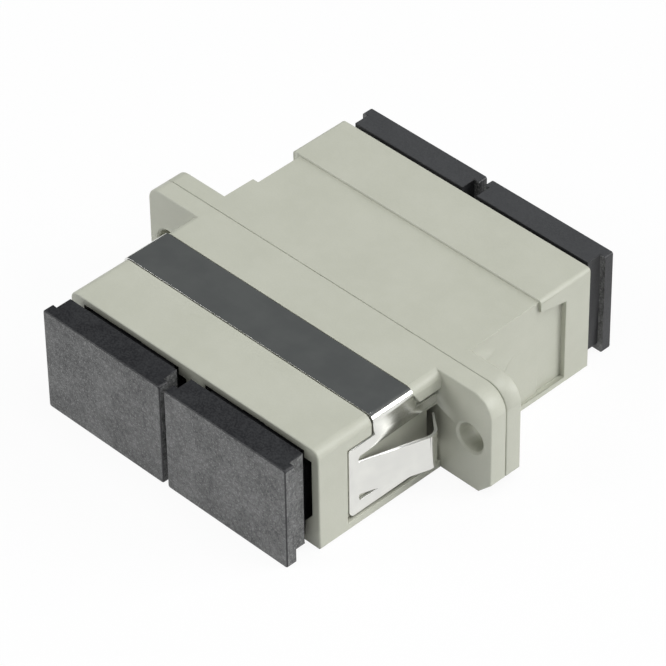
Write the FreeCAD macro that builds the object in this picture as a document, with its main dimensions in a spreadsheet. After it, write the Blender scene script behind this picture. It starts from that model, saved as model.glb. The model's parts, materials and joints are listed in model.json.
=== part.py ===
import FreeCAD, Part
import math
import operator
import os
import Sketcher
from FreeCAD import Placement, Rotation, Vector

# SC duplex fibre adapter: a two-piece moulded housing with a mounting flange, four ports on two
# fibre axes, a spring-steel panel clip round the front half, and a dust cap in every port.
#
# Frame: +X across the flange, +Y along the fibres (front half on the -Y side), +Z up.
# The origin is on the bottom face, midway between the ports, in the seam of the two halves.
# Every piece is drawn facing -Y from that seam, and the rear pieces are turned half a turn about Z.

SIZES = [
    # housing
    ("port_pitch", 12.7, "distance between the two fibre axes"),
    ("body_width", 25.5, "front body and rear collar, side to side"),
    ("body_height", 9.15, "body and flange, bottom to top"),
    ("front_depth", 13.85, "seam to front port face"),
    ("rear_depth", 14.05, "seam to rear port face"),
    ("top_edge_radius", 0.75, "rounding along the top sides of the front body"),
    ("bottom_edge_bevel", 0.1, "bevel along the bottom sides"),
    ("edge_round", 0.12, "small rounding of the outer moulded edges"),
    # flange
    ("flange_width", 35.3, "flange, tip to tip"),
    ("flange_front", 1.6, "flange thickness on the front half"),
    ("flange_rear", 1.5, "flange thickness on the rear half"),
    ("flange_left_radius", 1.15, "upper left corner of the flange, from the front"),
    ("flange_right_radius", 1.95, "upper right corner of the flange, from the front"),
    ("flange_bottom_bevel", 1.2, "lower corners of the flange"),
    ("seam_bevel", 0.1, "bevel on both sides of the seam"),
    ("screw_outer_wall", 0.85, "flange left between a screw hole and the tip"),
    ("screw_inner_wall", 1.65, "flange left between a screw hole and the body's side"),
    ("screw_rim", 0.15, "bevel round a screw hole"),
    # ports
    ("channel_width", 9.1, "port channel that guides the plug"),
    ("port_wall", 0.825, "housing left above and below the channel"),
    ("key_width", 2.2, "slot for the plug's key, in the channel's roof"),
    ("key_depth", 0.3, "depth of the key slot"),
    ("mouth_side", 0.4, "mouth of the port beyond the channel, each side"),
    ("mouth_rise", 0.2, "mouth of the port beyond the channel, above and below"),
    ("mouth_relief", 0.75, "further relief in each side of the mouth"),
    ("mouth_depth", 2.2, "length of the mouth"),
    ("relief_below", 2.65, "fibre axis down to the foot of the side relief"),
    ("relief_above", 3.3, "fibre axis up to the top of the side relief"),
    ("relief_slant", 1.0, "rise of the slanted foot of the side relief"),
    # seats of the latch holders
    ("holder_side", 0.9, "latch holder plate beyond the channel, each side"),
    ("holder_rise", 0.15, "latch holder plate beyond the channel, above and below"),
    ("holder_plate", 1.2, "latch holder plate thickness"),
    ("seat_clearance", 0.05, "gap round and behind a holder plate in its seat"),
    # front half: groove and recess for the clip
    ("groove_front", 8.6, "seam to the front wall of the strap groove"),
    ("groove_width", 4.2, "strap groove, front to back"),
    ("groove_depth", 0.22, "strap groove below the top face"),
    ("groove_corner", 0.4, "rounded corner under the bend of the strap"),
    ("recess_front", 11.0, "seam to the front wall of the side recess"),
    ("recess_depth", 0.42, "side recess below the side face"),
    ("recess_top", 7.56, "top of the side recess above the base"),
    ("ledge_height", 0.72, "ledge under the side recess"),
    ("window_length", 1.0, "slot through the wall for the tongue's end, along the side"),
    ("window_margin", 0.25, "pocket above and below the tongue"),
    # clip
    ("steel", 0.25, "sheet thickness of the clip"),
    ("strap_gap", 0.1, "strap to each wall of its groove"),
    ("shoulder", 0.35, "strap's bends beyond the side plates, so the legs lean in"),
    ("leg_shift", 0.4, "front edge of a strap's leg at its foot, back from the strap's"),
    ("leg_flare", 0.65, "rear edge of a strap's leg at its foot, beyond the strap's"),
    ("bend_radius", 0.3, "inner radius of the strap's bends"),
    ("plate_front_gap", 0.3, "side plate to the front wall of its recess"),
    ("plate_low_gap", 0.13, "side plate to the ledge"),
    ("plate_high_gap", 0.41, "side plate to the roof of its recess"),
    ("plate_rear_gap", 0.2, "side plate to the flange"),
    ("plate_corner", 0.6, "rounded lower front corner of a side plate"),
    ("tongue_low", 2.5, "lower edge of the tongue above the base"),
    ("tongue_high", 5.55, "upper edge of the tongue above the base"),
    ("tongue_root", 9.6, "seam to the root of the tongue"),
    ("slot_width", 0.56, "lanced slot above and below the tongue, at its tip"),
    ("slot_lead", 0.15, "tip of a slot, past the root of the tongue"),
    ("slot_flare", 0.2, "how much the upper slot opens towards the flange"),
    ("slot_tip", 0.24, "rounded tip of a slot"),
    ("tongue_crest", 3.7, "seam to the crest of the tongue, before rounding"),
    ("tongue_rise", 1.95, "crest of the tongue beyond the side plate, before rounding"),
    ("return_in", 1.95, "end of the tongue, back in from its crest"),
    ("return_along", 1.62, "end of the tongue, past its crest towards the flange"),
    ("crest_radius", 0.9, "inner radius of the tongue's crest"),
    # rear half
    ("left_inset", 0.7, "plain left side of the rear mid body, in from the collar"),
    ("right_inset", 0.25, "raised right side of the rear mid body, in from the collar"),
    ("collar_length", 5.3, "raised collar round the rear ports"),
    ("collar_rise", 0.25, "collar above the mid body"),
    ("collar_edge", 0.35, "rounding along the collar's top sides"),
    ("panel_length", 2.7, "sunk label panel, into the collar's right side"),
    ("panel_depth", 0.45, "label panel below the collar's side"),
    ("panel_front_top", 8.3, "top of the label panel above the base, at the collar's front"),
    ("panel_rear_top", 7.75, "top of the label panel above the base, at its rear wall"),
    ("rear_ledge_height", 0.5, "ledge along the foot of the rear half"),
    ("pad_length", 2.9, "raised side pad behind the flange"),
    ("pad_low", 7.2, "bottom of the side pad above the base"),
    ("pad_inset", 0.15, "side pad in from the collar's side"),
    ("pad_corner", 0.7, "rounded lower corner of the side pad"),
    # latch holders and sleeves
    ("barrel_radius", 2.6, "outside of the sleeve barrel"),
    ("barrel_length", 6.35, "seam to the end of the barrel"),
    ("barrel_lip", 0.6, "retaining lip at the barrel's end"),
    ("lip_clearance", 0.25, "plug ferrule to the lip's bore"),
    ("lip_bevel", 0.2, "bevel round both rims of the barrel's end"),
    ("sleeve_length", 11.4, "alignment sleeve"),
    ("sleeve_radius", 1.6, "outside of the alignment sleeve"),
    ("ferrule_radius", 1.25, "bore of the alignment sleeve"),
    ("sleeve_slit", 0.4, "slit along the sleeve"),
    ("sleeve_clearance", 0.02, "sleeve to its barrel"),
    ("sleeve_lead", 0.1, "bevel at the sleeve's mouths"),
    ("arm_gap", 0.25, "latch arm to the channel's side wall"),
    ("arm_thickness", 0.8, "latch arm"),
    ("arm_height", 3.0, "latch arm, bottom to top"),
    ("arm_length", 8.1, "seam to the tip of a latch arm"),
    ("hook_reach", 0.55, "hook beyond the arm's inner face"),
    ("hook_length", 1.2, "hook, from its catch to the arm's tip"),
    ("hook_land", 0.3, "flat on top of the hook"),
    ("arm_root_radius", 0.4, "rounding at the arm's root"),
    ("core_window", 0.6, "opening through the plate under each hook"),
    # dust caps
    ("cap_gap", 0.45, "between the front plates of neighbouring caps"),
    ("cap_height", 9.15, "front plate, bottom to top"),
    ("cap_plate", 0.9, "front plate thickness"),
    ("cap_corner", 0.22, "corners of the front plate"),
    ("cap_edge", 0.12, "rounding of the front plate's rim"),
    ("cap_lip", 0.5, "front plate beyond the block, at both sides and the foot"),
    ("cap_block", 1.35, "block behind the front plate"),
    ("cap_standoff_front", 0.7, "block to the front port face"),
    ("cap_standoff_rear", 0.5, "block to the rear port face"),
    ("cap_clearance", 0.08, "dust cap's plug to the channel, each side"),
    ("cap_plug", 5.6, "plug behind the block"),
    ("cap_wall", 1.1, "wall of the hollow plug"),
    ("cap_floor", 0.9, "floor left under the hollow, beside the block"),
    ("cap_lead", 0.4, "bevel round the plug's end"),
]

document = FreeCAD.newDocument("sc_duplex_adapter")
sheet = document.addObject("Spreadsheet::Sheet", "Sizes")
TOLERANCE = 1e-4


# ---------------------------------------------------------------- sizes and formulas

class Size:
    """A length with its number and the spreadsheet formula that gives it."""

    def __init__(self, number, formula):
        self.number = number
        self.formula = formula

    def __add__(self, other):
        return combine(operator.add, "+", self, other)

    def __radd__(self, other):
        return combine(operator.add, "+", other, self)

    def __sub__(self, other):
        return combine(operator.sub, "-", self, other)

    def __rsub__(self, other):
        return combine(operator.sub, "-", other, self)

    def __mul__(self, other):
        return combine(operator.mul, "*", self, other)

    def __rmul__(self, other):
        return combine(operator.mul, "*", other, self)

    def __truediv__(self, other):
        return combine(operator.truediv, "/", self, other)

    def __neg__(self):
        return combine(operator.sub, "-", 0, self)

    def root(self):
        return Size(math.sqrt(self.number), f"sqrt({self.formula})")


def as_size(value):
    if isinstance(value, Size):
        return value
    return Size(float(value), str(float(value)))


def combine(action, sign, left, right):
    left = as_size(left)
    right = as_size(right)
    return Size(action(left.number, right.number), f"({left.formula} {sign} {right.formula})")


def fill_sheet():
    """Write every driving size to the sheet and return them by name."""
    sizes = {}
    for row, (name, number, note) in enumerate(SIZES, start=1):
        sheet.set(f"A{row}", name)
        sheet.set(f"B{row}", str(number))
        sheet.setAlias(f"B{row}", name)
        sheet.set(f"C{row}", note)
        sizes[name] = Size(number, f"Sizes.{name}")
    document.recompute()
    return sizes


d = fill_sheet()


def bind(feature, prop, value):
    feature.setExpression(prop, as_size(value).formula)


# ---------------------------------------------------------------- sketches and features

def new_body(label):
    body = document.addObject("PartDesign::Body", label)
    body.Label = label
    return body


def new_sketch(body, plane, offset, name):
    """A sketch parallel to one of the body's own origin planes, moved along that plane's normal."""
    sketch = body.newObject("Sketcher::SketchObject", name)
    base = [item for item in body.Origin.OriginFeatures if item.Role == plane][0]
    sketch.AttachmentSupport = [(base, "")]
    sketch.MapMode = "FlatFace"
    sketch.AttachmentOffset = Placement(Vector(0, 0, as_size(offset).number), Rotation())
    bind(sketch, "AttachmentOffset.Base.z", offset)
    return sketch


def pin_point(sketch, geometry, point, x, y):
    """Hold one point of the sketch at x, y from its origin, by formula."""
    for kind, axis, value in (("DistanceX", -2, as_size(x)), ("DistanceY", -1, as_size(y))):
        if abs(value.number) < TOLERANCE:
            sketch.addConstraint(Sketcher.Constraint("PointOnObject", geometry, point, axis))
            continue
        index = sketch.addConstraint(
            Sketcher.Constraint(kind, -1, 1, geometry, point, value.number))
        bind(sketch, f"Constraints[{index}]", value)


def draw_outline(sketch, corners):
    """A closed outline of straight edges through the corners."""
    corners = [(as_size(x), as_size(y)) for x, y in corners]
    first = sketch.GeometryCount
    count = len(corners)
    for index, (x, y) in enumerate(corners):
        next_x, next_y = corners[(index + 1) % count]
        start = Vector(x.number, y.number, 0)
        end = Vector(next_x.number, next_y.number, 0)
        sketch.addGeometry(Part.LineSegment(start, end))
    for index, (x, y) in enumerate(corners):
        line = first + index
        following = first + (index + 1) % count
        sketch.addConstraint(Sketcher.Constraint("Coincident", line, 2, following, 1))
        pin_point(sketch, line, 1, x, y)


def draw_rectangle(sketch, left, right, low, high):
    draw_outline(sketch, [(left, low), (right, low), (right, high), (left, high)])


def draw_side_rectangle(sketch, side, near, far, low, high):
    """A rectangle from near to far of the middle plane, on the left (-1) or the right (1)."""
    if side < 0:
        draw_rectangle(sketch, -far, -near, low, high)
    else:
        draw_rectangle(sketch, near, far, low, high)


def draw_circle(sketch, x, y, radius):
    circle = sketch.addGeometry(
        Part.Circle(Vector(as_size(x).number, as_size(y).number, 0), Vector(0, 0, 1), radius.number))
    pin_point(sketch, circle, 3, x, y)
    index = sketch.addConstraint(Sketcher.Constraint("Radius", circle, radius.number))
    bind(sketch, f"Constraints[{index}]", radius)


def settle(body, feature):
    """Work the feature out and stop if it failed."""
    document.recompute()
    if "Invalid" in feature.State or feature.Shape.isNull():
        raise RuntimeError(f"{body.Label}: {feature.Label} failed, {feature.getStatusString()}")
    return feature


def extrude(body, kind, sketch, length, reverse, name):
    feature = body.newObject(kind, name)
    feature.Profile = sketch
    feature.Reversed = reverse
    bind(feature, "Length", length)
    return settle(body, feature)


def pad(body, sketch, length, name, reverse=False):
    return extrude(body, "PartDesign::Pad", sketch, length, reverse, name)


def pocket(body, sketch, length, name, reverse=False):
    """Cut along the sketch's normal turned round, or along it if reversed."""
    before = body.Shape.Volume
    feature = extrude(body, "PartDesign::Pocket", sketch, length, reverse, name)
    if body.Shape.Volume > before - TOLERANCE:
        raise RuntimeError(f"{body.Label}: {name} cuts nothing")
    return feature


def span(box, axis):
    low = (box.XMin, box.YMin, box.ZMin)["XYZ".index(axis)]
    high = (box.XMax, box.YMax, box.ZMax)["XYZ".index(axis)]
    return low, high


def pick_edges(body, **limits):
    """Names of the edges whose box lies within the limits, such as X=(low, high)."""
    names = []
    for index, edge in enumerate(body.Shape.Edges, start=1):
        inside = True
        for axis, (low, high) in limits.items():
            edge_low, edge_high = span(edge.BoundBox, axis)
            if edge_low < low - 0.01 or edge_high > high + 0.01:
                inside = False
        if inside:
            names.append(f"Edge{index}")
    return names


def at(value):
    """Limits that hold one coordinate at a value."""
    return (as_size(value).number, as_size(value).number)


def between(one, other):
    return tuple(sorted((as_size(one).number, as_size(other).number)))


def dress(body, kind, prop, edges, value, name):
    if not edges:
        raise RuntimeError(f"{body.Label}: no edges for {name}")
    base = body.Tip
    feature = body.newObject(kind, name)
    feature.Base = (base, edges)
    bind(feature, prop, value)
    return settle(body, feature)


def fillet(body, edges, radius, name):
    return dress(body, "PartDesign::Fillet", "Radius", edges, radius, name)


def chamfer(body, edges, size, name):
    return dress(body, "PartDesign::Chamfer", "Size", edges, size, name)


def port_centres():
    return (-d["port_pitch"] / 2, d["port_pitch"] / 2)


axis_height = d["body_height"] / 2
channel_height = d["body_height"] - 2 * d["port_wall"]


# ---------------------------------------------------------------- housing halves

def add_flange(body, thickness, left_radius, right_radius):
    sketch = new_sketch(body, "XZ_Plane", 0, "flange_outline")
    half = d["flange_width"] / 2
    draw_rectangle(sketch, -half, half, 0, d["body_height"])
    pad(body, sketch, thickness, "flange")
    for edge, radius in ((-half, left_radius), (half, right_radius)):
        upper = pick_edges(body, X=at(edge), Z=at(d["body_height"]))
        fillet(body, upper, radius, "flange_upper_corner")
        lower = pick_edges(body, X=at(edge), Z=at(0))
        chamfer(body, lower, d["flange_bottom_bevel"], "flange_lower_corner")
    fillet(body, pick_edges(body, Y=at(-thickness)), d["edge_round"], "flange_rim")


def add_block(body, name, left, right, high, start, end):
    """A straight stretch of the body between two distances from the seam, on bevelled edges."""
    sketch = new_sketch(body, "XZ_Plane", start, name + "_outline")
    bevel = d["bottom_edge_bevel"]
    draw_outline(sketch, [
        (left + bevel, 0),
        (right - bevel, 0),
        (right, bevel),
        (right, high),
        (left, high),
        (left, bevel),
    ])
    return pad(body, sketch, end - start, name)


def mouth_outline(centre):
    """Port mouth: a rectangle with a relief in each side, slanted at the relief's foot."""
    narrow = d["channel_width"] / 2 + d["mouth_side"]
    wide = narrow + d["mouth_relief"]
    rise = channel_height / 2 + d["mouth_rise"]
    foot = axis_height - d["relief_below"]
    head = axis_height + d["relief_above"]
    right_side = [
        (narrow, axis_height - rise),
        (narrow, foot),
        (wide, foot + d["relief_slant"]),
        (wide, head),
        (narrow, head),
        (narrow, axis_height + rise),
    ]
    left_side = [(-x, z) for x, z in reversed(right_side)]
    return [(centre + x, z) for x, z in right_side + left_side]


def channel_outline(centre):
    """Port channel with the slot for the plug's key in its roof."""
    half = d["channel_width"] / 2
    key = d["key_width"] / 2
    low = axis_height - channel_height / 2
    high = axis_height + channel_height / 2
    outline = [
        (-half, low),
        (half, low),
        (half, high),
        (key, high),
        (key, high + d["key_depth"]),
        (-key, high + d["key_depth"]),
        (-key, high),
        (-half, high),
    ]
    return [(centre + x, z) for x, z in outline]


def cut_ports(body, depth):
    """Mouth and channel from the port face, and the holder's seat from the seam."""
    mouths = new_sketch(body, "XZ_Plane", depth, "mouth_outlines")
    channels = new_sketch(body, "XZ_Plane", depth, "channel_outlines")
    seats = new_sketch(body, "XZ_Plane", 0, "seat_outlines")
    seat_half = d["channel_width"] / 2 + d["holder_side"] + d["seat_clearance"]
    seat_rise = channel_height / 2 + d["holder_rise"] + d["seat_clearance"]
    for centre in port_centres():
        draw_outline(mouths, mouth_outline(centre))
        draw_outline(channels, channel_outline(centre))
        draw_rectangle(seats, centre - seat_half, centre + seat_half,
                       axis_height - seat_rise, axis_height + seat_rise)
    seat_depth = d["holder_plate"] + d["seat_clearance"]
    pocket(body, mouths, d["mouth_depth"], "mouths")
    pocket(body, channels, depth - seat_depth, "channels")
    pocket(body, seats, seat_depth, "holder_seats", reverse=True)


def drill_flange(body, thickness):
    """The two screw holes, with a small bevel at the outer rim."""
    sketch = new_sketch(body, "XZ_Plane", 0, "screw_circles")
    ear = (d["flange_width"] - d["body_width"]) / 2
    radius = (ear - d["screw_inner_wall"] - d["screw_outer_wall"]) / 2
    centre = d["flange_width"] / 2 - d["screw_outer_wall"] - radius
    for side in (-1, 1):
        draw_circle(sketch, side * centre, axis_height, radius)
    pocket(body, sketch, thickness, "screw_holes", reverse=True)
    rims = []
    for side in (-1, 1):
        hole = between(side * (centre - radius), side * (centre + radius))
        rims += pick_edges(body, X=hole, Y=at(-thickness))
    chamfer(body, rims, d["screw_rim"], "screw_rims")


def outer_rim(body, y):
    """Names of the edges round the outside of the largest face that lies at y."""
    y = as_size(y).number
    faces = [face for face in body.Shape.Faces
             if abs(face.BoundBox.YMin - y) < 0.01 and abs(face.BoundBox.YMax - y) < 0.01]
    rim = max(faces, key=lambda face: face.Area).OuterWire.Edges
    return [f"Edge{index}" for index, edge in enumerate(body.Shape.Edges, start=1)
            if any(edge.isSame(other) for other in rim)]


def leg_top():
    """Height under the strap's bends, where the edges of its legs start to slant."""
    return d["body_height"] - d["groove_depth"] - d["bend_radius"]


def cut_clip_bed(body):
    """Groove over the top for the strap and a recess in each side for the plates."""
    half = d["body_width"] / 2
    outside = half + 1
    above = d["body_height"] + 1
    floor = half - d["recess_depth"]
    groove = new_sketch(body, "XZ_Plane", d["groove_front"], "groove_section")
    draw_outline(groove, [
        (-outside, d["recess_top"]),
        (-outside, above),
        (outside, above),
        (outside, d["recess_top"]),
        (floor, d["recess_top"]),
        (floor, d["body_height"] - d["groove_depth"]),
        (-floor, d["body_height"] - d["groove_depth"]),
        (-floor, d["recess_top"]),
    ])
    pocket(body, groove, d["groove_width"], "strap_groove")
    recess = new_sketch(body, "XZ_Plane", d["recess_front"], "recess_section")
    window = new_sketch(body, "XZ_Plane", d["flange_front"] + d["window_length"], "window_section")
    for side in (-1, 1):
        draw_side_rectangle(recess, side, floor, outside, d["ledge_height"], d["recess_top"])
        draw_side_rectangle(window, side, d["port_pitch"] / 2, outside,
                            d["tongue_low"] - d["window_margin"], d["tongue_high"] + d["window_margin"])
    pocket(body, recess, d["recess_front"] - d["flange_front"], "side_recesses")
    pocket(body, window, d["window_length"], "tongue_windows")
    corners = []
    for side in (-1, 1):
        corners += pick_edges(body, X=at(side * floor), Z=at(d["body_height"] - d["groove_depth"]))
    fillet(body, corners, d["groove_corner"], "groove_corners")
    rear = d["groove_width"] - d["groove_front"]
    for side in (-1, 1):
        flare = new_sketch(body, "YZ_Plane", side * floor, "leg_relief")
        draw_outline(flare, [
            (rear, d["recess_top"]),
            (rear + d["leg_flare"], d["recess_top"]),
            (rear, leg_top()),
        ])
        pocket(body, flare, d["recess_depth"] + 1, "leg_relief", reverse=side > 0)


def make_front_housing():
    body = new_body("housing_front")
    half = d["body_width"] / 2
    top = d["body_height"]
    add_flange(body, d["flange_front"], d["flange_left_radius"], d["flange_right_radius"])
    add_block(body, "front_body", -half, half, top, 0, d["front_depth"])
    for side in (-half, half):
        upper = pick_edges(body, X=at(side), Z=at(top))
        fillet(body, upper, d["top_edge_radius"], "top_side_edge")
    cut_ports(body, d["front_depth"])
    drill_flange(body, d["flange_front"])
    cut_clip_bed(body)
    fillet(body, outer_rim(body, -d["front_depth"]), d["edge_round"], "front_rim")
    chamfer(body, outer_rim(body, 0), d["seam_bevel"], "seam_bevel")
    return body


def add_side_pads(body, left, right):
    """Raised pads behind the flange, with a rounded lower corner."""
    sketch = new_sketch(body, "YZ_Plane", left, "side_pads_outline")
    end = -(d["flange_rear"] + d["pad_length"])
    draw_rectangle(sketch, end, 0, d["pad_low"], d["body_height"])
    pad(body, sketch, right - left, "side_pads")
    fillet(body, pick_edges(body, Y=at(end), Z=at(d["pad_low"])), d["pad_corner"], "pad_corners")


def cut_label_panel(body, side, start):
    """Sunk panel in the collar's side, under a rail that is deeper at its rear."""
    panel = new_sketch(body, "YZ_Plane", side + d["panel_depth"], "panel_outline")
    draw_outline(panel, [
        (-(start + d["panel_length"]), d["rear_ledge_height"]),
        (-start, d["rear_ledge_height"]),
        (-start, d["panel_front_top"]),
        (-(start + d["panel_length"]), d["panel_rear_top"]),
    ])
    pocket(body, panel, d["panel_depth"] + 1, "label_panel")


def make_rear_housing():
    """Drawn facing -Y, so its left here is the adapter's right."""
    body = new_body("housing_rear")
    half = d["body_width"] / 2
    top = d["body_height"]
    length = d["rear_depth"]
    label_side = d["right_inset"] - half
    plain_side = half - d["left_inset"]
    collar_start = length - d["collar_length"]
    collar_top = top + d["collar_rise"]
    add_flange(body, d["flange_rear"], d["flange_right_radius"], d["flange_left_radius"])
    add_block(body, "mid_body", label_side, plain_side, top, 0, length)
    add_block(body, "side_ledges", -half, half, d["rear_ledge_height"], 0, length)
    add_side_pads(body, d["pad_inset"] - half, half - d["pad_inset"])
    add_block(body, "collar", -half, half, collar_top, collar_start, length)
    for side in (-half, half):
        fillet(body, pick_edges(body, X=at(side), Z=at(collar_top)), d["collar_edge"], "collar_top_edge")
    cut_label_panel(body, -half, collar_start)
    cut_ports(body, length)
    drill_flange(body, d["flange_rear"])
    fillet(body, outer_rim(body, -length), d["edge_round"], "rear_rim")
    chamfer(body, outer_rim(body, 0), d["seam_bevel"], "seam_bevel")
    body.Placement = Placement(Vector(0, 0, 0), Rotation(Vector(0, 0, 1), 180))
    return body


# ---------------------------------------------------------------- clip

def clip_inside():
    """Inner face of the side plates, from the middle plane."""
    return d["body_width"] / 2 - d["recess_depth"]


def plate_high():
    return d["recess_top"] - d["plate_high_gap"]


def add_side_plate(body, side):
    """One side plate, with a wide slot open towards the flange in which the tongue stands."""
    name = "left" if side < 0 else "right"
    inner = clip_inside()
    front = -(d["recess_front"] - d["plate_front_gap"])
    rear = -(d["flange_front"] + d["plate_rear_gap"])
    low = d["ledge_height"] + d["plate_low_gap"]
    slot_low = d["tongue_low"] - d["slot_width"]
    slot_high = d["tongue_high"] + d["slot_width"]
    tip = -(d["tongue_root"] + d["slot_lead"])
    sketch = new_sketch(body, "YZ_Plane", side * inner, name + "_plate_outline")
    draw_outline(sketch, [
        (front, low),
        (rear, low),
        (rear, slot_low),
        (tip, slot_low),
        (tip, slot_high),
        (rear, slot_high + d["slot_flare"]),
        (rear, plate_high()),
        (front, plate_high()),
    ])
    pad(body, sketch, d["steel"], name + "_plate", reverse=side < 0)
    sheet_span = between(side * inner, side * (inner + d["steel"]))
    tips = pick_edges(body, X=sheet_span, Y=at(tip), Z=at(slot_low))
    tips += pick_edges(body, X=sheet_span, Y=at(tip), Z=at(slot_high))
    fillet(body, tips, d["slot_tip"], name + "_slot_tips")
    foot = pick_edges(body, X=sheet_span, Y=at(front), Z=at(low))
    fillet(body, foot, d["plate_corner"], name + "_plate_corner")


def tongue_outline(side):
    """The tongue seen from above: flat to its root, out to its crest and back in to its end."""
    face = clip_inside() + d["steel"]
    root = -d["tongue_root"]
    start = root - 2 * d["slot_lead"]
    crest_x = face + d["tongue_rise"]
    crest_y = -d["tongue_crest"]
    run = crest_y - root
    lean = (d["tongue_rise"] * d["tongue_rise"] + run * run).root()
    back = (d["return_in"] * d["return_in"] + d["return_along"] * d["return_along"]).root()
    lean_x, lean_y = -run / lean, d["tongue_rise"] / lean
    back_x, back_y = -d["return_along"] / back, -d["return_in"] / back
    reach = d["steel"] / (1 + lean_x * back_x + lean_y * back_y)
    end_x = crest_x - d["return_in"]
    end_y = crest_y + d["return_along"]
    outline = [
        (face, start),
        (face, root),
        (crest_x, crest_y),
        (end_x, end_y),
        (end_x + d["steel"] * back_x, end_y + d["steel"] * back_y),
        (crest_x + reach * (lean_x + back_x), crest_y + reach * (lean_y + back_y)),
        (face - d["steel"], root),
        (face - d["steel"], start),
    ]
    return [(side * x, y) for x, y in outline]


def add_tongue(body, side):
    name = "left" if side < 0 else "right"
    sketch = new_sketch(body, "XY_Plane", d["tongue_low"], name + "_tongue_outline")
    outline = tongue_outline(side)
    draw_outline(sketch, outline)
    pad(body, sketch, d["tongue_high"] - d["tongue_low"], name + "_tongue")
    for corner, radius in ((2, d["crest_radius"] + d["steel"]), (5, d["crest_radius"])):
        x, y = outline[corner]
        fillet(body, pick_edges(body, X=at(x), Y=at(y)), radius, name + "_tongue_crest")


def trim_legs(body, strap_width, beside, above):
    """Cut the strap to its width and slant the edges of its legs towards the flange."""
    front = -(d["groove_front"] - d["strap_gap"])
    rear = front + strap_width
    foot = plate_high()
    behind = new_sketch(body, "YZ_Plane", beside, "strap_rear_edge")
    draw_outline(behind, [
        (rear, leg_top()),
        (rear + d["leg_flare"], foot),
        (rear + d["leg_flare"] + 1, foot),
        (rear + d["leg_flare"] + 1, above),
        (rear, above),
    ])
    pocket(body, behind, 2 * beside, "strap_rear_edge")
    before = new_sketch(body, "YZ_Plane", beside, "leg_front_edge")
    draw_outline(before, [
        (front - 1, foot),
        (front + d["leg_shift"], foot),
        (front, leg_top()),
        (front - 1, leg_top()),
    ])
    pocket(body, before, 2 * beside, "leg_front_edge")


def make_clip():
    """Strap over the top with outward shoulders, its legs leaning in to the side plates."""
    body = new_body("mounting_clip")
    inner = clip_inside()
    outer = inner + d["steel"]
    under = d["body_height"] - d["groove_depth"]
    over = under + d["steel"]
    foot = plate_high() - 2 * d["steel"]
    right_side = [
        (outer + d["shoulder"], over),
        (outer, plate_high()),
        (outer, foot),
        (inner, foot),
        (inner, plate_high()),
        (inner + d["shoulder"], under),
    ]
    strap_width = d["groove_width"] - 2 * d["strap_gap"]
    strap = new_sketch(body, "XZ_Plane", d["groove_front"] - d["strap_gap"], "strap_section")
    draw_outline(strap, right_side + [(-x, z) for x, z in reversed(right_side)])
    pad(body, strap, strap_width + d["leg_flare"], "strap", reverse=True)
    for side in (-1, 1):
        inside = pick_edges(body, X=at(side * (inner + d["shoulder"])), Z=at(under))
        fillet(body, inside, d["bend_radius"], "inner_bend")
        outside = pick_edges(body, X=at(side * (outer + d["shoulder"])), Z=at(over))
        fillet(body, outside, d["bend_radius"] + d["steel"], "outer_bend")
    trim_legs(body, strap_width, outer + d["shoulder"] + 1, over + 1)
    for side in (-1, 1):
        add_side_plate(body, side)
        add_tongue(body, side)
    return body


# ---------------------------------------------------------------- inside the ports

def add_latch_arm(body, side):
    """A spring arm from the plate, with a hook that has a ramp, a land and a square catch."""
    outer = d["channel_width"] / 2 - d["arm_gap"]
    inner = outer - d["arm_thickness"]
    tip = -d["arm_length"]
    catch = tip + d["hook_length"]
    hook = inner - d["hook_reach"]
    name = "left" if side < 0 else "right"
    sketch = new_sketch(body, "XY_Plane", -d["arm_height"] / 2, name + "_arm_outline")
    outline = [
        (inner, -d["holder_plate"] / 2),
        (inner, catch),
        (hook, catch),
        (hook, catch - d["hook_land"]),
        (inner + d["arm_thickness"] / 2, tip),
        (outer, tip),
        (outer, -d["holder_plate"] / 2),
    ]
    draw_outline(sketch, [(side * x, y) for x, y in outline])
    pad(body, sketch, d["arm_height"], name + "_arm")
    root = pick_edges(body, X=at(side * outer), Y=at(-d["holder_plate"]))
    fillet(body, root, d["arm_root_radius"], name + "_arm_root")


def make_latch_holder(label, centre, front):
    """Plate with the sleeve's half barrel and two latch arms, on the fibre axis."""
    body = new_body(label)
    plate = new_sketch(body, "XZ_Plane", 0, "plate_outline")
    half = d["channel_width"] / 2 + d["holder_side"]
    rise = channel_height / 2 + d["holder_rise"]
    draw_rectangle(plate, -half, half, -rise, rise)
    pad(body, plate, d["holder_plate"], "plate")
    barrel = new_sketch(body, "XZ_Plane", 0, "barrel_circle")
    draw_circle(barrel, 0, 0, d["barrel_radius"])
    pad(body, barrel, d["barrel_length"], "barrel")
    for side in (-1, 1):
        add_latch_arm(body, side)
    windows = new_sketch(body, "XZ_Plane", 0, "core_windows")
    far = d["channel_width"] / 2 - d["arm_gap"] - d["arm_thickness"]
    for side in (-1, 1):
        draw_side_rectangle(windows, side, far - d["core_window"], far,
                            -d["arm_height"] / 2, d["arm_height"] / 2)
    pocket(body, windows, d["holder_plate"], "hook_windows", reverse=True)
    bore = new_sketch(body, "XZ_Plane", 0, "bore_circle")
    draw_circle(bore, 0, 0, d["sleeve_radius"] + d["sleeve_clearance"])
    pocket(body, bore, d["barrel_length"] - d["barrel_lip"], "sleeve_bore", reverse=True)
    lip = new_sketch(body, "XZ_Plane", 0, "lip_circle")
    draw_circle(lip, 0, 0, d["ferrule_radius"] + d["lip_clearance"])
    pocket(body, lip, d["barrel_length"], "lip_bore", reverse=True)
    rim = pick_edges(body, Y=at(-d["barrel_length"]), X=between(-d["barrel_radius"], d["barrel_radius"]))
    chamfer(body, rim, d["lip_bevel"], "barrel_rims")
    body.Placement = facing(front, centre)
    place_on_axis(body, centre)
    return body


def facing(front, centre):
    turn = Rotation() if front else Rotation(Vector(0, 0, 1), 180)
    return Placement(Vector(centre.number, 0, axis_height.number), turn)


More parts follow.
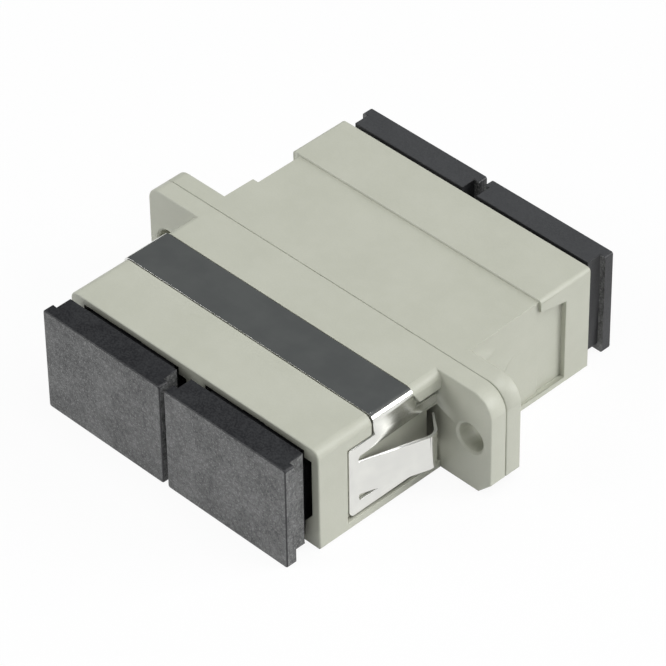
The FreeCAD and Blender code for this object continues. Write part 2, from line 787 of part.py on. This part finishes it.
def place_on_axis(body, centre):
    bind(body, "Placement.Base.x", centre)
    bind(body, "Placement.Base.z", axis_height)


def make_sleeve(label, centre):
    """Split ceramic tube that lines up the two ferrules."""
    body = new_body(label)
    ring = new_sketch(body, "XZ_Plane", -d["sleeve_length"] / 2, "ring")
    draw_circle(ring, 0, 0, d["sleeve_radius"])
    draw_circle(ring, 0, 0, d["ferrule_radius"])
    pad(body, ring, d["sleeve_length"], "tube")
    ferrule = d["ferrule_radius"]
    mouths = pick_edges(body, X=between(-ferrule, ferrule), Z=between(-ferrule, ferrule))
    mouths = [name for name in mouths if body.Shape.getElement(name).BoundBox.YLength < TOLERANCE]
    chamfer(body, mouths, d["sleeve_lead"], "lead_ins")
    slit = new_sketch(body, "XZ_Plane", -d["sleeve_length"] / 2, "slit_section")
    draw_rectangle(slit, -d["sleeve_slit"] / 2, d["sleeve_slit"] / 2, 0, d["sleeve_radius"] + 1)
    pocket(body, slit, d["sleeve_length"], "slit", reverse=True)
    body.Placement = facing(True, centre)
    place_on_axis(body, centre)
    return body


# ---------------------------------------------------------------- dust caps

def make_dust_cap(label, centre, front):
    """Front plate, block behind it and a hollow plug; its own y runs from the port face."""
    body = new_body(label)
    depth = d["front_depth"] if front else d["rear_depth"]
    standoff = d["cap_standoff_front"] if front else d["cap_standoff_rear"]
    block_end = depth + standoff
    plate_start = block_end + d["cap_block"]
    half = (d["port_pitch"] - d["cap_gap"]) / 2
    rise = d["cap_height"] / 2
    plate = new_sketch(body, "XZ_Plane", plate_start, "plate_outline")
    draw_rectangle(plate, -half, half, -rise, rise)
    pad(body, plate, d["cap_plate"], "front_plate")
    corners = []
    for side in (-half, half):
        corners += pick_edges(body, X=at(side), Z=at(-rise)) + pick_edges(body, X=at(side), Z=at(rise))
    fillet(body, corners, d["cap_corner"], "plate_corners")
    face = pick_edges(body, Y=at(-(plate_start + d["cap_plate"])))
    fillet(body, face, d["cap_edge"], "plate_rim")
    block = new_sketch(body, "XZ_Plane", block_end, "block_outline")
    shoulder = half - d["cap_lip"]
    draw_rectangle(block, -shoulder, shoulder, d["cap_lip"] - rise, rise)
    pad(body, block, d["cap_block"], "block")
    feet = []
    for side in (-shoulder, shoulder):
        feet += pick_edges(body, X=at(side), Z=at(d["cap_lip"] - rise))
    fillet(body, feet, d["cap_corner"], "block_lower_corners")
    plug_half = d["channel_width"] / 2 - d["cap_clearance"]
    plug_rise = channel_height / 2 - d["cap_clearance"]
    plug_end = block_end - d["cap_plug"]
    plug = new_sketch(body, "XZ_Plane", plug_end, "plug_outline")
    draw_rectangle(plug, -plug_half, plug_half, -plug_rise, plug_rise)
    pad(body, plug, d["cap_plug"], "plug")
    lead = pick_edges(body, Y=at(-plug_end))
    chamfer(body, lead, d["cap_lead"], "plug_lead_in")
    hollow = new_sketch(body, "XZ_Plane", plug_end, "hollow_outline")
    hollow_half = plug_half - d["cap_wall"]
    hollow_rise = plug_rise - d["cap_wall"]
    draw_rectangle(hollow, -hollow_half, hollow_half, -hollow_rise, hollow_rise)
    pocket(body, hollow, d["cap_plug"] - d["cap_floor"], "hollow", reverse=True)
    body.Placement = facing(front, centre)
    place_on_axis(body, centre)
    return body


# ---------------------------------------------------------------- the whole adapter

def check_document():
    """Stop if any object failed, or any piece is not one sound solid."""
    for item in document.Objects:
        if "Invalid" in item.State or "Error" in item.State:
            raise RuntimeError(f"{item.Label} failed: {item.State}")


def export(pieces):
    os.makedirs("parts", exist_ok=True)
    for piece in pieces:
        shape = piece.Shape
        if shape.isNull() or not shape.isValid() or len(shape.Solids) != 1:
            raise RuntimeError(f"{piece.Label} is not one sound solid")
        shape.exportStep(f"parts/{piece.Label}.step")


def build():
    pieces = [make_front_housing(), make_rear_housing(), make_clip()]
    for side, centre in zip(("left", "right"), port_centres()):
        pieces.append(make_sleeve(f"alignment_sleeve_{side}", centre))
        for end in ("front", "rear"):
            front = end == "front"
            pieces.append(make_latch_holder(f"latch_holder_{end}_{side}", centre, front))
            pieces.append(make_dust_cap(f"dust_cap_{end}_{side}", centre, front))
    document.recompute()
    check_document()
    export(pieces)


build()
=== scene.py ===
import json
import math

import bmesh
import bpy
from mathutils import Matrix, Vector


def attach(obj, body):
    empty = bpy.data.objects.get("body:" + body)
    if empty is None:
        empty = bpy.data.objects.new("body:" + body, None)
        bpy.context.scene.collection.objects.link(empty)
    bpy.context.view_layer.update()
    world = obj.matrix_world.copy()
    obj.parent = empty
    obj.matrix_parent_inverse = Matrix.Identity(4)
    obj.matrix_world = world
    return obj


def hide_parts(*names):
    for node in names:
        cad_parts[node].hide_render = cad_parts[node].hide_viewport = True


# Looks for a duplex SC fibre adapter: satin beige housing halves, grained charcoal dust caps,
# a bright spring-steel clip, and the latch holders and ceramic sleeves inside the ports.

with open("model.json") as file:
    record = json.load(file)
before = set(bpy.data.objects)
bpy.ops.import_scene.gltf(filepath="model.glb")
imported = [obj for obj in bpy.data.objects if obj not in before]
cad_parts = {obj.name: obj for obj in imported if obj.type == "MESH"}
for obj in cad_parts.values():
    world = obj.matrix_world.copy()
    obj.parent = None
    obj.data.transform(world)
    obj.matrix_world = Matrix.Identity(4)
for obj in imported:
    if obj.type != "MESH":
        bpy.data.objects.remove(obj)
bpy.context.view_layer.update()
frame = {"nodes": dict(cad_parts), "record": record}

MM = 0.001


# ---------------------------------------------------------------- shader maths

# Places of the Mix node's sockets for colours, which share their names with those for numbers.
MIX_SHARE, MIX_ONE, MIX_OTHER = 0, 6, 7
MIX_RESULT = 2


class Value:
    """One output of a shader node; arithmetic on it adds Math nodes."""

    def __init__(self, finish, socket):
        self.finish = finish
        self.socket = socket

    def maths(self, operation, *inputs):
        return self.finish.add("ShaderNodeMath", {"operation": operation}, dict(enumerate(inputs)))

    def __add__(self, other):
        return self.maths("ADD", self, other)

    def __radd__(self, other):
        return self.maths("ADD", other, self)

    def __rsub__(self, other):
        return self.maths("SUBTRACT", other, self)

    def __mul__(self, other):
        return self.maths("MULTIPLY", self, other)

    def __gt__(self, other):
        return self.maths("GREATER_THAN", self, other)

    def __lt__(self, other):
        return self.maths("LESS_THAN", self, other)

    def __abs__(self):
        return self.maths("ABSOLUTE", self)

    def either(self, other):
        return self.maths("MAXIMUM", self, other)


class Finish:
    """A material with a Principled shader, built from the object's own coordinates."""

    def __init__(self, name, **constants):
        self.material = bpy.data.materials.new(name)
        self.material.use_nodes = True
        self.tree = self.material.node_tree
        self.shader = self.tree.nodes["Principled BSDF"]
        for socket, value in constants.items():
            self.shader.inputs[socket.replace("_", " ")].default_value = value
        self.place = self.add("ShaderNodeTexCoord", {}, {}, "Object")

    def add(self, kind, settings, sockets, output=0):
        """A node with its settings made first, then its sockets set or linked."""
        node = self.tree.nodes.new(kind)
        for name, value in settings.items():
            setattr(node, name, value)
        for name, value in sockets.items():
            self.feed(node.inputs[name], value)
        return Value(self, node.outputs[output])

    def feed(self, socket, value):
        """Links another node's output to a socket, or sets a constant on it."""
        if isinstance(value, Value):
            self.tree.links.new(value.socket, socket)
        elif socket.type == "RGBA":
            socket.default_value = (*value, 1)
        else:
            socket.default_value = value

    def set(self, **varying):
        for socket, value in varying.items():
            self.feed(self.shader.inputs[socket.replace("_", " ")], value)

    def steps(self, size, stretch=(1, 1, 1)):
        """The object's coordinates, counted in steps of this many millimetres."""
        scale = tuple(1 / (size * MM * along) for along in stretch)
        return self.add("ShaderNodeMapping", {}, {"Vector": self.place, "Scale": scale})

    def noise(self, size, detail=2.0, stretch=(1, 1, 1), roughness=0.5):
        """Cloudy variation from 0 to 1 with features of about this size in millimetres."""
        return self.add("ShaderNodeTexNoise", {},
                        {"Vector": self.steps(size, stretch), "Scale": 1.0,
                         "Detail": detail, "Roughness": roughness})

    def cells(self, size):
        """Distance to scattered points about this many millimetres apart, in cell widths."""
        return self.add("ShaderNodeTexVoronoi", {},
                        {"Vector": self.steps(size), "Scale": 1.0}, "Distance")

    def mix(self, share, one, other):
        """One colour, turning into the other as the share goes from 0 to 1."""
        return self.add("ShaderNodeMix", {"data_type": "RGBA"},
                        {MIX_SHARE: share, MIX_ONE: one, MIX_OTHER: other}, MIX_RESULT)

    def band(self, value, low, high):
        """0 below low, 1 above high, smooth between."""
        return self.add("ShaderNodeMapRange", {"interpolation_type": "SMOOTHSTEP"},
                        {"Value": value, "From Min": low, "From Max": high})

    def axes(self, vector):
        """The three parts of a vector."""
        split = self.add("ShaderNodeSeparateXYZ", {}, {"Vector": vector})
        return [Value(self, output) for output in split.socket.node.outputs]

    def facing(self):
        """The true face direction, before any bump."""
        return self.axes(self.add("ShaderNodeNewGeometry", {}, {}, "True Normal"))

    def relief(self, height, depth, strength):
        """Normal from a height field that is this many millimetres deep."""
        return self.add("ShaderNodeBump", {},
                        {"Height": height, "Distance": depth * MM, "Strength": strength})

    def crevices(self, reach, low, high):
        """1 in gaps and inside corners narrower than this many millimetres, 0 on open faces."""
        openness = self.add("ShaderNodeAmbientOcclusion", {"samples": 8},
                            {"Distance": reach * MM}, "AO")
        return 1 - self.band(openness, low, high)


def make_housing_finish():
    """Satin moulded plastic, with painted shade in its inside corners and gaps, and a faint pin
    mark.
    """
    finish = Finish("housing_satin_beige", IOR=1.5)
    beige, light_beige = (0.487, 0.495, 0.415), (0.525, 0.532, 0.452)
    pale_beige, shade_colour = (0.56, 0.567, 0.49), (0.13, 0.125, 0.1)
    clouds = finish.band(finish.noise(5.0), 0.3, 0.7)
    mottle = finish.noise(0.9, 3.0)
    grain = finish.noise(0.15, 3.0, roughness=0.65)
    flow = finish.noise(1.6, 3.0, stretch=(6, 1, 1))
    fine = finish.band(grain, 0.3, 0.7)
    plastic = finish.mix(clouds * 0.6 + fine * 0.4, beige, light_beige)
    mottled = finish.mix(finish.band(mottle, 0.4, 0.7) * 0.15, plastic, pale_beige)

    # The painted shade is left off the seam between the halves, which stays a tight, clean line.
    along = finish.axes(finish.place)[1]
    beside_seam = finish.band(abs(along), 0.15 * MM, 0.3 * MM)
    # Painted shade: occlusion darkens the inside corners and gaps where shade falls, and makes them
    # a little rougher.
    painted_shade = finish.crevices(2.4, 0.08, 0.52) * beside_seam

    # An ejector pin's rim on the rear half's right side, which fades out towards the rear.
    pin_centre = (12.5 * MM, 7.0 * MM, 3.65 * MM)
    rim_inside, rim_outside, rim_blur = 2.0 * MM, 2.06 * MM, 0.1 * MM
    fade_start, fade_end = 5.8 * MM, 7.4 * MM
    rim_height = 6.0
    from_pin = finish.add("ShaderNodeVectorMath", {"operation": "DISTANCE"},
                          {0: finish.place, 1: pin_centre}, "Value")
    rim = (finish.band(from_pin, rim_inside - rim_blur, rim_inside)
           * (1 - finish.band(from_pin, rim_outside, rim_outside + rim_blur)))
    pin_mark = rim * (1 - finish.band(along, fade_start, fade_end))

    height = grain * 0.8 + mottle * 0.3 + pin_mark * rim_height
    finish.set(Base_Color=finish.mix(painted_shade * 0.75, mottled, shade_colour),
               Roughness=0.28 + mottle * 0.1 + grain * 0.12 + flow * 0.06 + painted_shade * 0.15,
               Normal=finish.relief(height, depth=0.02, strength=0.4))
    return finish.material


def make_cap_finish():
    """Coarse grain on the outer plates and the front caps' sides, partly painted light; smooth and
    dark elsewhere.
    """
    finish = Finish("cap_grained_charcoal", IOR=1.5)
    black, charcoal, sheen_top = (0.012, 0.012, 0.014), (0.028, 0.029, 0.031), (0.085, 0.087, 0.09)
    dark_grain, lit_grain, glint_fleck = (0.035, 0.036, 0.037), (0.21, 0.212, 0.21), (0.34, 0.34, 0.335)
    plate_from, block_from = 15.5 * MM, 14.4 * MM
    square_on = 0.97
    across_x, along_y, up = finish.facing()
    place_y = finish.axes(finish.place)[1]
    plate_faces = (abs(along_y) > square_on) * (abs(place_y) > plate_from)
    front_sides = (abs(across_x) > square_on) * (place_y < -block_from)
    rear_tops_sheen = (up > square_on) * (place_y > block_from)
    coarse_and_lit = plate_faces.either(front_sides)

    # The rear caps' tops are as smooth as the rest, with a painted sheen that makes them paler.
    clouds = finish.band(finish.noise(2.2, 3.0), 0.35, 0.65)
    patches = finish.band(finish.noise(0.42), 0.35, 0.65)
    grain = finish.band(finish.noise(0.14, roughness=0.6), 0.38, 0.62)
    flecks = 1 - finish.band(finish.cells(0.26), 0.15, 0.35)
    smooth = finish.mix(clouds * 0.4 + grain * 0.6, black, charcoal)
    # Painted sheen: the rear caps' upward faces are lightened.
    plain = finish.mix(rear_tops_sheen * 0.5, smooth, sheen_top)
    # Partly painted light: the grain is real, but its pale grains and flecks are lightened to stand
    # in for the light and glints that the grain catches.
    grained = finish.mix(clouds * 0.25 + patches * 0.3 + grain * 0.45, dark_grain, lit_grain)
    flecked_and_lit = finish.mix(flecks * 0.45, grained, glint_fleck)

    height = (grain * 0.7 + patches * 0.3) * (0.25 + coarse_and_lit * 0.75)
    finish.set(Base_Color=finish.mix(coarse_and_lit, plain, flecked_and_lit),
               Roughness=0.38 + grain * 0.16 + coarse_and_lit * 0.08,
               Normal=finish.relief(height, depth=0.05, strength=0.7))
    return finish.material


def make_clip_finish():
    """Bright rolled faces, and duller sheared edges all round the sheet."""
    finish = Finish("clip_spring_steel", Metallic=1.0)
    steel, light_steel, sheared_steel = (0.72, 0.72, 0.69), (0.79, 0.79, 0.75), (0.8, 0.8, 0.78)
    strap_underside = 8.6 * MM
    square_on = 0.96
    _, along_y, up = finish.facing()
    height = finish.axes(finish.place)[2]
    below_strap = height < strap_underside
    sheared = (abs(along_y) > square_on).either((abs(up) > square_on) * below_strap)

    streaks = finish.noise(0.08, 3.0, stretch=(40, 1, 40))
    clouds = finish.noise(2.5, 3.0)
    grit = finish.noise(0.06)
    rolled = finish.mix(finish.band(clouds, 0.3, 0.7), steel, light_steel)
    finish.set(Base_Color=finish.mix(sheared, rolled, sheared_steel),
               Roughness=0.13 + streaks * 0.08 + clouds * 0.05 + sheared * 0.2,
               Normal=finish.relief(streaks * 0.6 + grit * sheared, depth=0.006, strength=0.3))
    return finish.material


def make_holder_finish():
    """Off-white nylon with a fine grain."""
    finish = Finish("holder_natural_nylon", IOR=1.5)
    nylon, pale_nylon = (0.60, 0.58, 0.50), (0.66, 0.64, 0.57)
    grain = finish.noise(0.12, 3.0)
    finish.set(Base_Color=finish.mix(finish.noise(2.0, 3.0), nylon, pale_nylon),
               Roughness=0.34 + grain * 0.16,
               Normal=finish.relief(grain, depth=0.02, strength=0.3))
    return finish.material


def make_sleeve_finish():
    """Polished ceramic with fine grinding marks along it."""
    finish = Finish("sleeve_zirconia", IOR=2.1)
    ceramic, pale_ceramic = (0.82, 0.81, 0.77), (0.88, 0.87, 0.84)
    polish = finish.noise(0.05, stretch=(1, 30, 1))
    finish.set(Base_Color=finish.mix(finish.noise(1.2), ceramic, pale_ceramic),
               Roughness=0.12 + polish * 0.1,
               Normal=finish.relief(polish, depth=0.004, strength=0.2))
    return finish.material


FINISHES = {
    "housing": make_housing_finish(),
    "cap": make_cap_finish(),
    "clip": make_clip_finish(),
    "holder": make_holder_finish(),
    "sleeve": make_sleeve_finish(),
}


# ---------------------------------------------------------------- pieces with broken edges

# Width of the rounding on outward corners, in millimetres.
EDGE_BREAKS = {"housing": 0.05, "cap": 0.06, "clip": 0.085, "holder": 0.04, "sleeve": 0.03}
ROUNDING_STRIPS = 3

# Points this near are one, and faces this close in direction are one flat.
SAME_POINT = 0.0001 * MM
SAME_FLAT = math.radians(0.5)

# Steeper than the first angle, in degrees, is always a corner; steeper than the second is one
# where the faces beside it are wide.
SHARP_ANGLE = 60
CORNER_ANGLE = 30
WIDE_FACE = 0.2 * MM
SHORTEST_ROUNDED = 0.2 * MM

# How much the large faces count in the shading: high, so that they look flat up to the roundings.
LARGE_FACE_WEIGHT = 90


def body_of(node):
    """The moving or fixed body that carries a CAD node."""
    for body, members in frame["record"]["behaviour"]["bodies"].items():
        if node in members:
            return body


def join_flats(work):
    """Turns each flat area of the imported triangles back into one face."""
    bmesh.ops.remove_doubles(work, verts=work.verts, dist=SAME_POINT)
    bmesh.ops.dissolve_limit(work, angle_limit=SAME_FLAT, verts=work.verts, edges=work.edges)


def is_corner(edge):
    """A real corner of the part, not a step between two strips of a rounding."""
    angle = math.degrees(edge.calc_face_angle())
    narrowest = min(face.calc_area() for face in edge.link_faces) / edge.calc_length()
    return angle > SHARP_ANGLE or angle > CORNER_ANGLE and narrowest > WIDE_FACE


def mark_corners(work):
    """Marks the outward corners for rounding, and keeps the others sharp."""
    rounding = work.edges.layers.float.new("bevel_weight_edge")
    for edge in work.edges:
        if is_corner(edge):
            if edge.is_convex and edge.calc_length() > SHORTEST_ROUNDED:
                edge[rounding] = 1.0
            else:
                edge.smooth = False


def break_edges(node, slot):
    """The part with its sharp edges slightly rounded, as moulding and deburring leave them."""
    mesh = frame["nodes"][node].data.copy()
    work = bmesh.new()
    work.from_mesh(mesh)
    join_flats(work)
    for face in work.faces:
        face.smooth = True
    mark_corners(work)
    work.to_mesh(mesh)
    work.free()
    mesh.materials.clear()
    mesh.materials.append(FINISHES[slot])

    piece = bpy.data.objects.new(node + "_softened", mesh)
    bpy.context.scene.collection.objects.link(piece)
    edge = piece.modifiers.new("edge", "BEVEL")
    edge.width = EDGE_BREAKS[slot] * MM
    edge.segments = ROUNDING_STRIPS
    edge.limit_method = "WEIGHT"
    edge.use_clamp_overlap = False  # or one short edge would shrink every rounding
    shading = piece.modifiers.new("shading", "WEIGHTED_NORMAL")
    shading.weight = LARGE_FACE_WEIGHT
    shading.keep_sharp = True

    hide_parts(node)
    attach(piece, body_of(node))


for part in frame["record"]["subparts"]:
    break_edges(part["node"], part["material_slot"])


# ---------------------------------------------------------------- floor, light and camera

FLOOR_SIZE = 3.0
SENSOR_WIDTH = 36.0  # millimetres
NEAREST_SEEN = 0.01

# Share of plain white in what the camera and reflections see of the floor; the rest is the lit
# floor, which keeps the shadow.
FLOOR_GLOW = 0.92


def make_floor_finish():
    """Pale floor that stays white behind the object and still takes its shadow."""
    finish = Finish("floor_white", Roughness=0.6)
    finish.set(Base_Color=finish.mix(finish.noise(40.0), (0.88, 0.88, 0.88), (0.9, 0.9, 0.9)))
    rays = finish.add("ShaderNodeLightPath", {}, {}).socket.node.outputs
    camera, glossy, through = (Value(finish, rays[f"Is {kind} Ray"])
                               for kind in ("Camera", "Glossy", "Transmission"))
    painted = Value(finish, finish.shader.outputs["BSDF"])
    glow = finish.add("ShaderNodeEmission", {}, {"Color": (1, 1, 1), "Strength": 1.0})
    surface = finish.add("ShaderNodeMixShader", {},
                         {0: (camera + glossy + through) * FLOOR_GLOW, 1: painted, 2: glow})
    finish.feed(finish.tree.nodes["Material Output"].inputs["Surface"], surface)
    return finish.material


def add_floor():
    bpy.ops.mesh.primitive_plane_add(size=FLOOR_SIZE, location=(0, 0, 0))
    floor = bpy.context.object
    floor.name = "floor"
    floor.data.materials.append(make_floor_finish())


def add_softbox(name, place, side, power):
    """A square lamp of this side in metres and power in watts, turned to the part."""
    lamp = bpy.data.lights.new(name, "AREA")
    lamp.shape = "SQUARE"
    lamp.size = side
    lamp.energy = power
    holder = bpy.data.objects.new(name, lamp)
    holder.location = place
    holder.rotation_euler = (-Vector(place)).to_track_quat("-Z", "Y").to_euler()
    bpy.context.scene.collection.objects.link(holder)


def add_world(colour, strength):
    world = bpy.data.worlds.new("studio")
    world.use_nodes = True
    backdrop = world.node_tree.nodes["Background"]
    backdrop.inputs["Color"].default_value = (*colour, 1)
    backdrop.inputs["Strength"].default_value = strength
    bpy.context.scene.world = world


def add_camera(azimuth, elevation, roll, distance, target, lens, shift):
    """Looks at the target from this many degrees round from -Y and this many up."""
    camera = bpy.data.cameras.new("camera")
    camera.sensor_width = SENSOR_WIDTH
    camera.lens = lens
    camera.clip_start = NEAREST_SEEN
    camera.shift_x, camera.shift_y = shift
    round_z, up = math.radians(azimuth), math.radians(elevation)
    back = Vector((math.sin(round_z) * math.cos(up), -math.cos(round_z) * math.cos(up),
                   math.sin(up)))
    turn = ((-back).to_track_quat("-Z", "Y").to_matrix()
            @ Matrix.Rotation(math.radians(roll), 3, "Z"))
    holder = bpy.data.objects.new("camera", camera)
    holder.matrix_world = Matrix.Translation(Vector(target) + back * distance) @ turn.to_4x4()
    bpy.context.scene.collection.objects.link(holder)
    bpy.context.scene.camera = holder


bpy.context.scene.view_settings.view_transform = "Standard"
add_floor()
add_world(colour=(0.94, 1.0, 1.04), strength=0.12)
add_softbox("overhead", place=(0.175, -0.035, 0.68), side=0.5, power=2.9)
add_softbox("rear_right", place=(0.6, 0.56, 0.4), side=0.6, power=5.4)
add_softbox("front_left", place=(-0.48, -0.56, 0.47), side=0.5, power=3.0)
add_camera(azimuth=45.77, elevation=40.14, roll=-0.922, distance=0.315,
           target=(0, -0.0002, 0.0047), lens=232.8, shift=(0.00601, -0.00646))
